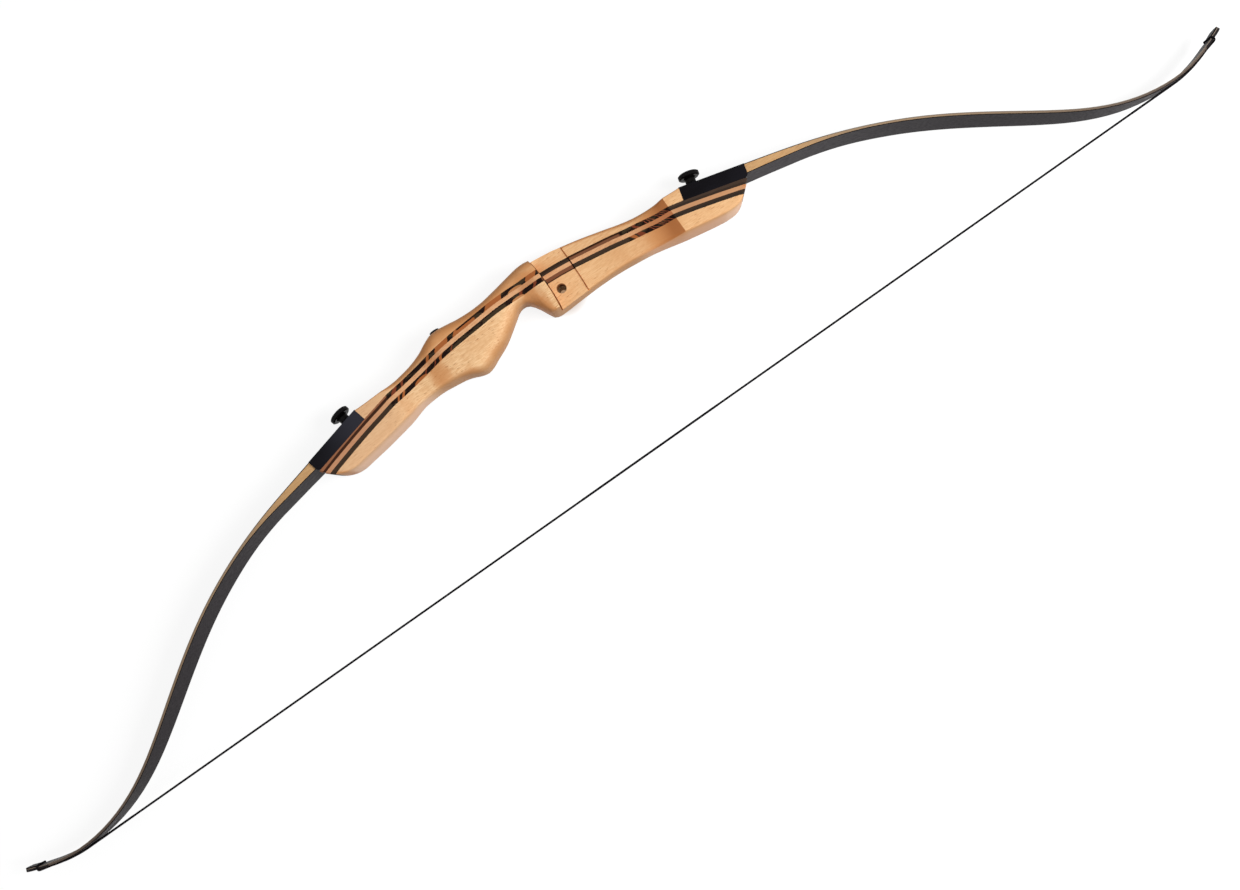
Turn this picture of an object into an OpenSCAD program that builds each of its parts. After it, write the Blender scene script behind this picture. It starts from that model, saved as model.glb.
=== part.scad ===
// Takedown recurve bow, strung, lying on its right side.
// Sizes are in millimetres. +X runs to the upper limb tip, +Y to the back (target side) and +Z up to
// the left side. The bow is drawn in bow coordinates: u along the string, v from the string to the back,
// and w from the middle plane to the left side.

/* [Riser] */
// Half width of the flat end blocks, which the bow rests on
end_half_width = 24; // [20:0.5:30]
// Thickness of the middle strip between the two dark stripes
strip_thick = 5; // [3:0.1:8]
// Thickness of each dark stripe
stripe_thick = 5.6; // [3:0.1:7]
// Distance of the sight window face from the middle plane
window_face = 2; // [0:0.5:8]
// Position of the arrow shelf along the bow
shelf_u = 40.5; // [36:0.5:44]
// Position of the upper edge of the sight window recess
recess_u = 80; // [70:1:84]
// Depth of the fine grooves at both ends of the window face
relief_depth = 1.2; // [0.4:0.1:2]
// Width of the groove at the foot of the shelf
shelf_relief = 1.9; // [1:0.1:2.4]
// Width of the groove at the upper end of the window
upper_relief = 1.4; // [0.8:0.1:2]

/* [Limb pockets] */
// Length of a limb pocket
pocket_length = 79.5; // [70:0.5:90]
// Height of the pocket cheeks
cheek_height = 16.5; // [13.5:0.1:17]
// Wall thickness of the pocket cheeks
cheek_wall = 1.9; // [1.2:0.1:2.5]
// Thickness of the pocket floor
floor_wall = 2.5; // [1.5:0.1:3]
// Height of the limb back above the cheek edge
limb_proud = 0.2; // [0:0.1:2]

/* [Limbs] */
// Length of each limb from the pocket mouth to the tip
limb_length = 587; // [560:1:610]
// Thickness of each sheet of glass
glass_thick = 0.9; // [0.6:0.1:1.2]
// Thickness of the tip overlay
overlay_thick = 1.4; // [0.8:0.1:2.5]
// Length of the tip overlay
overlay_length = 15; // [10:0.5:17]

/* [Limb bolts] */
// Distance of the bolt from the pocket mouth
bolt_back = 61; // [55:0.5:65]
// Radius of the bolt shank
bolt_r = 3.95; // [3:0.05:5]
// Radius of the knob
knob_r = 12.7; // [11:0.1:15]
// Thickness of the knob disc
knob_thick = 6.2; // [4:0.1:7]
// Radius of the knob hub
hub_r = 6.3; // [4.5:0.1:7]
// Height of the knob disc above the limb back
knob_lift = 12.1; // [10:0.1:16]
// Radius of the washer
washer_r = 9; // [8:0.1:11]
// Thickness of the washer
washer_thick = 5.8; // [4:0.1:6.5]

/* [Bushings] */
// Thread radius of the plunger and stabilizer bushings
bushing_bore_r = 3.95; // [3:0.05:5]
// Thread radius of the sight bushings
sight_bore_r = 2.4; // [1.8:0.05:3]
// Outer radius of the plunger bushing
plunger_r = 5.3; // [4.8:0.1:7]
// Length of the plunger bushing, which ends flush with the right side
plunger_length = 16; // [12:0.5:20]
// Outer radius of the stabilizer bushing
stab_r = 6.2; // [5.5:0.1:7]
// Depth of the stabilizer bushing in the riser
stab_depth = 17; // [14:0.5:17]
// Spacing of the two sight bushings
sight_spacing = 33.3; // [25:0.1:40]

/* [String] */
// Radius of the bowstring
string_r = 1.25; // [0.8:0.05:1.6]
// Wall thickness of the serving thread
serving_wall = 0.2; // [0.1:0.05:0.4]
// Position of the nocking point along the bow
nock_u = 50; // [44:1:60]
// Length of the centre serving
centre_serving_length = 190; // [120:5:240]
// Length of each end serving
end_serving_length = 95; // [70:5:120]

/* [Clearances] */
// Gap between pieces of different bodies
body_gap = 0.3; // [0.2:0.05:0.5]
// Radial clearance of the bolt in its insert and washer
bolt_clear = 0.05; // [0.01:0.01:0.1]
// Radial clearance of the bolt in the limb and pocket
hole_clear = 0.6; // [0.3:0.1:1]
// Gap between the limb butt and the closed end of its pocket
butt_gap = 2.5; // [1:0.5:5]

/* [Hidden] */
// Middle of the whole bow, which is put over the row origin
mid_u = 5;
mid_v = 130;
rest_w = end_half_width;
cyl_fn = 64;
tube_sides = 12;
min_tail = 0.3;
// How far a cut runs past what it cuts, just clear of it and right through it
over = 1;
far = 60;
butt_length = pocket_length - butt_gap;

// Outlines of the riser, as points along the bow
belly_pts = [[-300, 206], [-296, 200.6], [-290.5, 192.6], [-284, 186.6], [-278.5, 183], [-272, 180],
  [-264, 177.9], [-256, 177.6], [-246, 179], [-223, 182.2], [-199.4, 186.3], [-175.8, 190.8],
  [-152.3, 195.8], [-128.6, 196.8], [-112, 195.4], [-100, 193.6], [-90, 190.5], [-80, 186], [-72, 184.2],
  [-64, 186], [-54, 190.6], [-40, 196.6], [-30, 202.2], [-20, 209], [-10, 216.2], [-3, 221.3], [3, 223.4],
  [8, 223.2], [13, 220], [17, 214.5], [20.5, 208.5], [25, 199.6], [28, 194.6], [31, 193.2], [38, 193],
  [60, 193.8], [84, 194.4], [107.5, 194.3], [131, 192.9], [155, 189.9], [178.4, 186], [202, 181.5],
  [225.8, 177], [249.4, 173], [262, 171.6], [271, 171.8], [279.3, 174.3], [289.3, 181.4], [296.2, 188],
  [302, 195]];
back_pts = [[-300, 240], [-262, 236.6], [-239.4, 233.5], [-216.5, 232], [-193.6, 232.4], [-178, 233.2],
  [-160, 236.6], [-142, 240.8], [-126, 246.2], [-112, 252.6], [-102, 256], [-92, 256.3], [-79.9, 254.8],
  [-65, 252.6], [-48, 251.8], [-33, 252.8], [-18, 255.4], [0, 259], [13, 261.4], [24, 262.6], [33, 262.4],
  [39, 261.2], [46, 260.6], [59.4, 259], [82.7, 255.3], [105.9, 250], [129, 243.5], [151.9, 236.9],
  [174.5, 231.9], [196, 229], [212, 228], [226, 227.2], [262, 227], [300, 227]];
// Middle of the centre strip
glue_pts = [[-300, 185.5], [-279.4, 192.2], [-262, 197.2], [-245, 201.9], [-220, 208.4], [-196, 213.9],
  [-180, 217.7], [-167, 219.9], [-148, 223.3], [-128, 226.7], [-108, 229.5], [-83, 232.3], [-49, 235],
  [-20, 237.6], [0, 237.95], [20, 237.2], [34, 236.7], [60, 235.1], [78, 233.1], [100, 229.6], [130, 224.2],
  [149, 219.9], [168, 216.2], [187, 211.6], [201, 209], [223, 203.8], [245, 197.8], [265, 192],
  [284.4, 186.1], [300, 181.4]];
// Extra thickness of the back stripe, which reaches the pocket floors at both ends
stripe_extra_pts = [[-300, 3], [-262, 1], [-230, 0.3], [-218, 0], [218, 0], [230, 0.9], [262, 1.4],
  [300, 3.4]];
// Half width of the left side, which carries the sight window
left_pts = [[-300, 24], [-192, 24], [-183, 24], [-176, 23], [-164, 21], [-150, 19.4], [-138, 19],
  [-126, 20], [-114, 22.4], [-100, 24.2], [-80, 24.6], [-50, 24.2], [-25, 22.4], [-5, 20.6], [10, 20.4],
  [24, 22.6], [36, 24.4], [44, 24], [60, 13], [74, 4.6], [84, 3.5], [100, 4], [120, 5.4], [140, 7.8],
  [158, 9.5], [175, 12.6], [190, 17], [200, 21.2], [205.9, 24], [214, 24], [300, 24]];
right_pts = [[-300, 24], [-192, 24], [-183, 24], [-176, 23], [-164, 21], [-150, 19.4], [-138, 19],
  [-126, 20], [-114, 22.2], [-100, 23.6], [-80, 24], [-50, 23.6], [-25, 22.4], [0, 21.6], [24, 22.8],
  [40, 23.6], [76, 23.6], [90, 22], [142, 22], [156, 19.8], [168, 19.2], [180, 20.2], [196, 22.4],
  [206, 24], [214, 24], [300, 24]];
// Edge radii of the back and belly edges
back_round_pts = [[-300, 1.5], [-188, 1.5], [-176, 5], [-162, 10], [-100, 13], [30, 13], [40, 13], [52, 6],
  [80, 4], [130, 5], [165, 7], [196, 5], [207, 1.5], [300, 1.5]];
belly_round_pts = [[-300, 3], [-190, 3], [-165, 5], [-120, 6], [-92, 10], [-60, 14], [-20, 14], [5, 12],
  [18, 12], [30, 6], [37, 1.5], [44, 1.5], [80, 3.5], [160, 4], [200, 3], [300, 3]];
// Furthest that a lamination of the riser can reach along the bow
riser_reach = back_pts[len(back_pts) - 1][0];
stations = concat([for (u = [-292 : 4 : -240]) u], [for (u = [-232 : 8 : -200]) u],
  [for (u = [-192 : 4 : -60]) u], [for (u = [-54 : 6 : -12]) u], [for (u = [-8 : 4 : 48]) u],
  [for (u = [56 : 8 : 184]) u], [for (u = [190 : 4 : 214]) u], [for (u = [222 : 8 : 246]) u],
  [for (u = [252 : 4 : 296]) u]);

// Each end is [sign along u, pocket angle, u and v of the limb back at the pocket mouth]
lower_end = [-1, 14.1, -298.3, 213.5];
upper_end = [1, 15, 305.2, 207.05];
seat_y = -limb_proud - cheek_height;
floor_y = seat_y + floor_wall;

// The lists below follow a limb of this length; a longer or shorter limb stretches them
drawn_length = 587;
function stretch(s) = s <= 0 ? s : s * limb_length / drawn_length;
function stretched(pts) = [for (p = pts) [stretch(p[0]), p[1]]];
// Bend of each limb, as angles along its length measured from the pocket
lower_bend = stretched([[-80, 0], [0, 0], [46, -0.4], [92, -3.6], [138, -8.3], [184, -12.8], [230, -17.6],
  [276, -21], [322, -22.2], [368, -20.6], [414, -13.7], [460, -2.1], [506, 11.6], [540, 25.1], [600, 38.8]]);
upper_bend = stretched([[-80, 0], [0, 0], [46, -0.9], [92, -3.7], [138, -7.7], [184, -11.6], [230, -15.7],
  [276, -18.5], [322, -19.6], [368, -17.6], [414, -10.3], [460, 1.6], [506, 15.4], [540, 29], [600, 42]]);
limb_thick_pts = stretched([[-80, -floor_y], [-40, -floor_y], [0, 11.7], [29, 9.8], [55, 8.2], [78, 6.4],
  [105, 4.9], [128, 4.1], [152, 3.8], [200, 3.7], [600, 3.7]]);
// Full width of the limb along its length, and of its tip measured back from the end
limb_width_pts = stretched([[-80, 42.2], [0, 42.6], [69, 43.8], [161, 43.5], [253, 41.5], [322, 38.8],
  [380, 35.5], [437, 31], [483, 26.6], [529, 22.8]]);
tip_width_pts = [[-34, 21], [-24, 22.4], [-19.5, 20.6], [-16.5, 14], [-13.5, 12.6], [-11, 13.6], [-7, 14],
  [-3, 12.6], [-1, 10], [0, 8]];
limb_step = 12;
tip_backs = [39, 34, 28, 24, 21, 19.5, 18, 16.5, 15, 13.5, 12, 11, 9, 7, 5, 3, 1, 0];
width_pts = concat([for (p = limb_width_pts) if (p[0] < limb_length - tip_backs[0]) p],
  [for (p = tip_width_pts) [limb_length + p[0], p[1]]]);
limb_stations = concat([-butt_length, -butt_length / 2, -butt_length / 4, 0],
  [for (s = [limb_step : limb_step : limb_length - tip_backs[0] - limb_step / 2]) s],
  [for (d = tip_backs) limb_length - d]);
groove_start = stretch(465);
groove_run = 40;
groove_depth = 0.6;
groove_half = 1.7;
string_gap = 0.15;
seat_in_groove = string_r + serving_wall - groove_depth + string_gap;

// Smooth curve through a list of points
function curve_slope(p, i) =
  i <= 0 ? (p[1][1] - p[0][1]) / (p[1][0] - p[0][0]) :
  i >= len(p) - 1 ? (p[i][1] - p[i - 1][1]) / (p[i][0] - p[i - 1][0]) :
  let (a = (p[i][1] - p[i - 1][1]) / (p[i][0] - p[i - 1][0]),
       b = (p[i + 1][1] - p[i][1]) / (p[i + 1][0] - p[i][0]))
  a * b == 0 ? 0 : a * b < 0 ? 0.25 * (a + b) : 2 * a * b / (a + b);
function find_span(p, x, i = 0) = (i >= len(p) - 2 || x < p[i + 1][0]) ? i : find_span(p, x, i + 1);
function curve(p, x) =
  let (i = find_span(p, x), h = p[i + 1][0] - p[i][0], t = (x - p[i][0]) / h,
       a = curve_slope(p, i) * h, b = curve_slope(p, i + 1) * h)
  (2 * t * t * t - 3 * t * t + 1) * p[i][1] + (t * t * t - 2 * t * t + t) * a
  + (3 * t * t - 2 * t * t * t) * p[i + 1][1] + (t * t * t - t * t) * b;

// Riser shape
function belly(u) = curve(belly_pts, u);
function back(u) = curve(back_pts, u);
function glue(u, offset) = curve(glue_pts, u) + offset + (offset == high_b ? curve(stripe_extra_pts, u) : 0);
function edge_drop(s, r) = s >= r ? 0 : r - sqrt(max(0, r * r - (r - max(0, s)) * (r - max(0, s))));
function belly_slope(u) = (belly(u + 0.5) - belly(u - 0.5));
function back_slope(u) = (back(u + 0.5) - back(u - 0.5));
function half_width(side, u, v) =
  curve(side, u) - edge_drop((back(u) - v) / norm([1, back_slope(u)]), curve(back_round_pts, u))
  - edge_drop((v - belly(u)) / norm([1, belly_slope(u)]), curve(belly_round_pts, u));
// Samples across a lamination of thickness t, closer together at an outside edge of radius r
function samples(r, t, kind) =
  kind == 0 ? [0, 1] :
  let (c = min(r, 0.7 * t) / t)
  concat([for (a = [0, 25, 45, 65, 90]) c * (1 - cos(a))], [(1 + c) / 2, 1]);

// A lamination of the riser between two edges; kind says which edge is an outside edge
function edge_low(kind, low, u) = kind < 0 ? belly(u) : max(belly(u), glue(u, low));
function edge_high(kind, high, u) = kind > 0 ? back(u) : min(back(u), glue(u, high));
function lam_gap(kind, low, high, u) = edge_high(kind, high, u) - edge_low(kind, low, u) - min_tail;
function lam_end(kind, low, high, inside, outside, n = 22) =
  n == 0 ? inside :
  let (m = (inside + outside) / 2)
  lam_gap(kind, low, high, m) > 0 ? lam_end(kind, low, high, m, outside, n - 1)
                                  : lam_end(kind, low, high, inside, m, n - 1);
function lam_row(kind, low, high, u) =
  let (a = edge_low(kind, low, u), b = edge_high(kind, high, u), t = b - a,
       r = kind > 0 ? curve(back_round_pts, u) * norm([1, back_slope(u)])
                    : curve(belly_round_pts, u) * norm([1, belly_slope(u)]),
       f = samples(r, t, kind), n = len(f),
       v = [for (i = [0 : n - 1]) kind < 0 ? a + t * f[i] : b - t * f[i]])
  concat([for (i = [0 : n - 1]) [u, v[i], half_width(left_pts, u, v[i])]],
         [for (i = [n - 1 : -1 : 0]) [u, v[i], -half_width(right_pts, u, v[i])]]);

// A closed solid through a list of rings with the same number of points
module ring_solid(rings, flip = false) {
  n = len(rings[0]);
  m = len(rings);
  pts = [for (r = rings) for (p = r) p];
  caps = [[for (i = [0 : n - 1]) i], [for (i = [n - 1 : -1 : 0]) (m - 1) * n + i]];
  walls = [for (k = [0 : m - 2]) for (i = [0 : n - 1])
    let (j = (i + 1) % n, a = k * n + i, b = k * n + j)
    each [[a, a + n, b + n], [a, b + n, b]]];
  faces = concat(caps, walls);
  polyhedron(points = pts, faces = flip ? [for (f = faces) [for (i = [len(f) - 1 : -1 : 0]) f[i]]] : faces,
    convexity = 10);
}

module lamination(kind, low, high, outer_low, outer_high) {
  u0 = lam_end(kind, low, high, 0, outer_low);
  u1 = lam_end(kind, low, high, 0, outer_high);
  us = concat([u0], [for (u = stations) if (u > u0 + 1 && u < u1 - 1) u], [u1]);
  ring_solid([for (u = us) lam_row(kind, low, high, u)], flip = kind < 0);
}

// From bow coordinates to the row frame
module in_row() translate([-mid_u, -mid_v, rest_w]) children();
// From bow coordinates to a pocket's own frame: x outward along the limb, y to the back, z across
module at_end(e) translate([e[2], e[3], 0]) mirror([e[0] < 0 ? 1 : 0, 0, 0]) rotate([0, 0, -e[1]]) children();
// A cylinder along y, from y0 up to y1
module post(r, x, y0, y1)
  translate([x, y0, 0]) rotate([-90, 0, 0]) cylinder(r = r, h = y1 - y0, $fn = cyl_fn);
// A tapered hole or head along y, from y0 up to y1
module taper(r0, r1, x, y0, y1)
  translate([x, y0, 0]) rotate([-90, 0, 0]) cylinder(r1 = r0, r2 = r1, h = y1 - y0, $fn = cyl_fn);
// A cylinder across the bow, from w0 up to w1
module pin(r, u, v, w0, w1) translate([u, v, w0]) cylinder(r = r, h = w1 - w0, $fn = cyl_fn);

// Cuts shared by the laminations
stab_u = -97;
stab_v = 257.2;
stab_proud = 3;
stab_floor = 3;
plunger_u = 53.5;
plunger_v = 213.9;
plunger_face = 0.4 - curve(right_pts, plunger_u);
sight_u = 100;
sight_v = 208;
sight_r = 4;
sight_length = 15;
sight_hole = 12;
sight_face = 1.4 - curve(right_pts, sight_u + sight_spacing / 2);
insert_r = 6;
insert_length = 16;
pin_r = 2.5;
pin_back = 32;
pin_depth = 6;
pin_height = 4.5;
screw_r = 1.9;
screw_head_r = 3.6;
screw_head = 1.8;
screw_length = 16;
screw_backs = [14, pocket_length - 7.5];
bolt_end = -31;
bolt_room = 3;

module pocket_space(e)
  at_end(e) translate([-pocket_length, seat_y, -far]) cube([pocket_length + far, far, 2 * far]);
// Edges of the sight window: the arrow shelf and the upper end, both slightly curved across the bow
window_vs = [for (i = [0 : 8]) 180 + i * 11.25];
shelf_edge = [for (v = window_vs) [shelf_u + 1 - 2.6 * pow((v - 228) / 36, 2), v]];
upper_edge = [for (v = window_vs) [recess_u + 0.6 - 1.6 * pow((v - 240) / 46, 2), v]];
function moved(edge, d) = [for (p = edge) [p[0] + d, p[1]]];
module strip_of(edge, a, b) polygon(concat(moved(edge, a), reversed(moved(edge, b))));
module window_space() {
  translate([0, 0, window_face]) linear_extrude(height = far)
    polygon(concat(shelf_edge, reversed(upper_edge)));
  translate([0, 0, window_face - relief_depth]) linear_extrude(height = far) {
    strip_of(shelf_edge, 0, shelf_relief);
    strip_of(upper_edge, -upper_relief, 0);
  }
}
module insert_space(e) at_end(e) post(insert_r, -bolt_back, seat_y - insert_length, seat_y + over);
module bolt_space(e) at_end(e) post(bolt_r + hole_clear, -bolt_back, bolt_end - bolt_room, seat_y + over);
module screw_space(e) at_end(e) for (s = screw_backs)
  post(screw_r, -s, floor_y - screw_length, seat_y + over);
module pin_space(e) at_end(e) post(pin_r, -pin_back, seat_y - pin_depth, seat_y + over);
module end_spaces(e) {
  pocket_space(e);
  insert_space(e);
  bolt_space(e);
  screw_space(e);
  pin_space(e);
}
module stabilizer_space() post(stab_r, stab_u, stab_v - stab_depth, stab_v + far);
module plunger_space() pin(plunger_r, plunger_u, plunger_v, -far, far);
module sight_spaces() for (k = [0, 1])
  pin(sight_r, sight_u + k * sight_spacing, sight_v, -far, sight_face + sight_length);

// Heights of the two dark stripes from the middle of the centre strip
low_a = -strip_thick / 2 - stripe_thick;
low_b = -strip_thick / 2;
high_a = strip_thick / 2;
high_b = strip_thick / 2 + stripe_thick;

// A lamination with the cuts for the window and both limb pockets
module cut_lamination(kind, low, high, outer_low, outer_high) difference() {
  lamination(kind, low, high, outer_low, outer_high);
  window_space();
  end_spaces(lower_end);
  end_spaces(upper_end);
}
module riser_back_block() color("burlywood") in_row() difference() {
  cut_lamination(1, high_b, 0, -296, 262);
  stabilizer_space();
}
module riser_back_stripe() color("saddlebrown") in_row()
  cut_lamination(0, high_a, high_b, 1 - riser_reach, 1 + riser_reach);
module riser_centre_strip() color("tan") in_row()
  cut_lamination(0, low_b, high_a, 1 - riser_reach, 1 + riser_reach);
module riser_belly_stripe() color("saddlebrown") in_row()
  cut_lamination(0, low_a, low_b, 1 - riser_reach, 1 + riser_reach);
module riser_belly_block() color("burlywood") in_row() difference() {
  cut_lamination(-1, 0, low_a, 1 - riser_reach, 1 + riser_reach);
  plunger_space();
  sight_spaces();
}

// Bushings
module plunger_bushing() color("goldenrod") in_row() difference() {
  pin(plunger_r, plunger_u, plunger_v, plunger_face, plunger_face + plunger_length);
  pin(bushing_bore_r, plunger_u, plunger_v, -far, far);
}
module stabilizer_bushing() color("black") in_row() difference() {
  post(stab_r, stab_u, stab_v - stab_depth, stab_v + stab_proud);
  post(bushing_bore_r, stab_u, stab_v - stab_depth + stab_floor, stab_v + far);
}
module sight_bushings() color("goldenrod") in_row() for (k = [0, 1]) difference() {
  pin(sight_r, sight_u + k * sight_spacing, sight_v, sight_face, sight_face + sight_length);
  pin(sight_bore_r, sight_u + k * sight_spacing, sight_v, sight_face - over, sight_face + sight_hole);
}
module limb_insert(e) color("goldenrod") in_row() at_end(e) difference() {
  post(insert_r, -bolt_back, seat_y - insert_length, seat_y);
  post(bolt_r + bolt_clear, -bolt_back, seat_y - insert_length - over, seat_y + over);
}
module lower_limb_insert() limb_insert(lower_end);
module upper_limb_insert() limb_insert(upper_end);

// Limb pockets, screws and pins
pocket_half = end_half_width - body_gap;
mouth_round = 5;
module pocket(e) color("#15161a") in_row() at_end(e) difference() {
  translate([0, 0, -pocket_half]) linear_extrude(height = 2 * pocket_half) pocket_side();
  translate([-pocket_length - over, floor_y, -pocket_half + cheek_wall])
    cube([pocket_length + 2 * over, far, 2 * (pocket_half - cheek_wall)]);
  post(bolt_r + hole_clear, -bolt_back, seat_y - over, floor_y + over);
  post(pin_r, -pin_back, seat_y - over, floor_y + over);
  for (s = screw_backs) {
    post(screw_r, -s, seat_y - over, floor_y + over);
    taper(screw_r, screw_head_r, -s, floor_y - screw_head, floor_y);
  }
}
module pocket_side() difference() {
  translate([-pocket_length, seat_y]) square([pocket_length, cheek_height]);
  translate([-mouth_round, seat_y]) difference() {
    square([mouth_round + over, mouth_round]);
    translate([0, mouth_round]) circle(r = mouth_round, $fn = cyl_fn);
  }
}
module lower_limb_pocket() pocket(lower_end);
module upper_limb_pocket() pocket(upper_end);
module pocket_screw(x) {
  taper(screw_r, screw_head_r, -x, floor_y - screw_head, floor_y);
  post(screw_r, -x, floor_y - screw_length, floor_y - screw_head);
}
module pocket_screws() color("#303030") in_row() {
  for (e = [lower_end, upper_end]) at_end(e) for (s = screw_backs) pocket_screw(s);
}
module limb_alignment_pins() color("silver") in_row() {
  for (e = [lower_end, upper_end]) at_end(e) post(pin_r, -pin_back, seat_y - pin_depth, floor_y + pin_height);
}

// Limbs
walk_step = 3;
function limb_walk(bend) =
  let (d = walk_step, n = floor(limb_length / d) + 2)
  [for (i = 0, x = 0, y = 0; i <= n;
        x = x + d * cos(curve(bend, (i + 0.5) * d)), y = y + d * sin(curve(bend, (i + 0.5) * d)), i = i + 1)
     [x, y]];
lower_walk = limb_walk(lower_bend);
upper_walk = limb_walk(upper_bend);
function walk_at(walk, s) =
  s <= 0 ? [s, 0] :
  let (f = s / walk_step, i = floor(f), t = f - i) walk[i] * (1 - t) + walk[i + 1] * t;
// Point of a limb at distance s and height h above its back
function limb_point(walk, bend, s, h) =
  let (p = walk_at(walk, s), a = curve(bend, s)) [p[0] - h * sin(a), p[1] + h * cos(a)];
function limb_thick(s) = curve(limb_thick_pts, s);
function limb_half(s) = curve(width_pts, s) / 2;
function layer_ring(walk, bend, s, top, bottom) =
  let (a = limb_point(walk, bend, s, top), b = limb_point(walk, bend, s, bottom), w = limb_half(s))
  [[b[0], b[1], w], [b[0], b[1], -w], [a[0], a[1], -w], [a[0], a[1], w]];
// The string groove, a V that sinks into the belly face towards the tip
groove_high = 1.2;
groove_lead = 0.1;
function groove_at(s) = min(1, (s - groove_start) / groove_run) * (groove_depth + groove_lead) - groove_lead;
function groove_ring(walk, bend, s) =
  let (h = groove_at(s) - limb_thick(s), a = limb_point(walk, bend, s, h - groove_high),
       b = limb_point(walk, bend, s, h), w = groove_half * groove_high / groove_depth)
  [[a[0], a[1], w], [a[0], a[1], -w], [b[0], b[1], 0]];
groove_stations = concat([for (s = [groove_start : limb_step : limb_length]) s], [limb_length + 2 * over]);
module groove_space(walk, bend) ring_solid([for (s = groove_stations) groove_ring(walk, bend, s)]);
module butt_holes() {
  post(bolt_r + hole_clear, -bolt_back, -far, far);
  post(pin_r + body_gap, -pin_back, -far, floor_y + pin_height + over);
}
// Layers of a limb, each a list of rings
function back_rings(walk, bend) = [for (s = limb_stations) layer_ring(walk, bend, s, 0, -glass_thick)];
function core_rings(walk, bend) =
  [for (s = limb_stations) layer_ring(walk, bend, s, -glass_thick, glass_thick - limb_thick(s))];
function belly_rings(walk, bend) =
  [for (s = limb_stations) layer_ring(walk, bend, s, glass_thick - limb_thick(s), -limb_thick(s))];
module back_glass(e, walk, bend) color("#46424a") in_row() at_end(e) difference() {
  ring_solid(back_rings(walk, bend));
  butt_holes();
}
module limb_core(e, walk, bend) color("#b09060") in_row() at_end(e) difference() {
  ring_solid(core_rings(walk, bend));
  butt_holes();
}
module belly_glass(e, walk, bend) color("#46424a") in_row() at_end(e) difference() {
  ring_solid(belly_rings(walk, bend));
  butt_holes();
  groove_space(walk, bend);
}
overlay_end = 1.5;
overlay_step = 0.5;
function overlay_top(s) = s > limb_length - overlay_end ? overlay_thick - overlay_step : overlay_thick;
module tip_overlay(e, walk, bend) color("black") in_row() at_end(e)
  ring_solid([for (s = limb_stations) if (s >= limb_length - overlay_length)
    layer_ring(walk, bend, s, overlay_top(s), 0)]);
module lower_limb_back_glass() back_glass(lower_end, lower_walk, lower_bend);
module lower_limb_core() limb_core(lower_end, lower_walk, lower_bend);
module lower_limb_belly_glass() belly_glass(lower_end, lower_walk, lower_bend);
module lower_tip_overlay() tip_overlay(lower_end, lower_walk, lower_bend);
module upper_limb_back_glass() back_glass(upper_end, upper_walk, upper_bend);
module upper_limb_core() limb_core(upper_end, upper_walk, upper_bend);
module upper_limb_belly_glass() belly_glass(upper_end, upper_walk, upper_bend);
module upper_tip_overlay() tip_overlay(upper_end, upper_walk, upper_bend);

// Limb bolts, each with a washer that it pushes and a knob fixed on its head
washer_y = body_gap;
washer_top = washer_y + washer_thick;
hub_y = washer_top + body_gap;
knob_top = knob_lift + knob_thick;
bolt_top = knob_lift + knob_thick / 2;
hub_flare = 1.5;
knob_bevel = 1.6;
knob_edge = 1.2;
dish_r = knob_r - 5.5;
dish_rim_r = dish_r + 1;
dish_y = knob_top - 0.6;
flutes = 18;
flute_r = 1.1;
knob_outline = [[0, hub_y], [hub_r, hub_y], [hub_r, knob_lift - hub_flare], [hub_r + hub_flare, knob_lift],
  [knob_r - knob_bevel, knob_lift], [knob_r, knob_lift + knob_edge], [knob_r, knob_top - knob_edge],
  [knob_r - knob_bevel, knob_top], [dish_rim_r, knob_top], [dish_r, dish_y], [0, dish_y]];
// The washer is a straight foot that narrows to the hub above it
foot_height = 3.2;
foot_top_r = hub_r + 0.5;
washer_outline = [[0, washer_y], [washer_r, washer_y], [washer_r, washer_y + foot_height],
  [foot_top_r, washer_top], [0, washer_top]];
module washer(e) color("#202024") in_row() at_end(e) difference() {
  translate([-bolt_back, 0, 0]) rotate([-90, 0, 0]) rotate_extrude($fn = cyl_fn) polygon(washer_outline);
  post(bolt_r + bolt_clear, -bolt_back, washer_y - over, washer_top + over);
}
module bolt(e) color("silver") in_row() at_end(e) post(bolt_r, -bolt_back, bolt_end, bolt_top);
module knob(e) color("#0c0c0e") in_row() at_end(e) translate([-bolt_back, 0, 0]) difference() {
  rotate([-90, 0, 0]) rotate_extrude($fn = 96) polygon(knob_outline);
  post(bolt_r, 0, 0, bolt_top);
  for (i = [0 : flutes - 1]) rotate([0, i * 360 / flutes, 0])
    post(flute_r, knob_r + flute_r / 2, hub_y, knob_top + over);
}
module lower_bolt_washer() washer(lower_end);
module upper_bolt_washer() washer(upper_end);
module lower_limb_bolt() bolt(lower_end);
module upper_limb_bolt() bolt(upper_end);
module lower_bolt_knob() knob(lower_end);
module upper_bolt_knob() knob(upper_end);

// String, which leaves each limb where the limb runs parallel to it and then lies in the groove
function to_bow(e, p) =
  [e[2] + e[0] * (p[0] * cos(e[1]) + p[1] * sin(e[1])), e[3] - p[0] * sin(e[1]) + p[1] * cos(e[1])];
function belly_track(e, walk, bend, s) =
  to_bow(e, limb_point(walk, bend, s, -limb_thick(s) - seat_in_groove));
loop_join = limb_length - 27;
function touch_s(e, bend, lo, hi, n = 30) =
  n == 0 ? lo :
  let (m = (lo + hi) / 2)
  curve(bend, m) > e[1] ? touch_s(e, bend, lo, m, n - 1) : touch_s(e, bend, m, hi, n - 1);
track_steps = 9;
function end_track(e, walk, bend) =
  let (s0 = touch_s(e, bend, limb_length * 0.7, loop_join))
  [for (i = [track_steps : -1 : 0]) belly_track(e, walk, bend, s0 + (loop_join - s0) * i / track_steps)];
lower_track = end_track(lower_end, lower_walk, lower_bend);
upper_track = end_track(upper_end, upper_walk, upper_bend);
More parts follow.
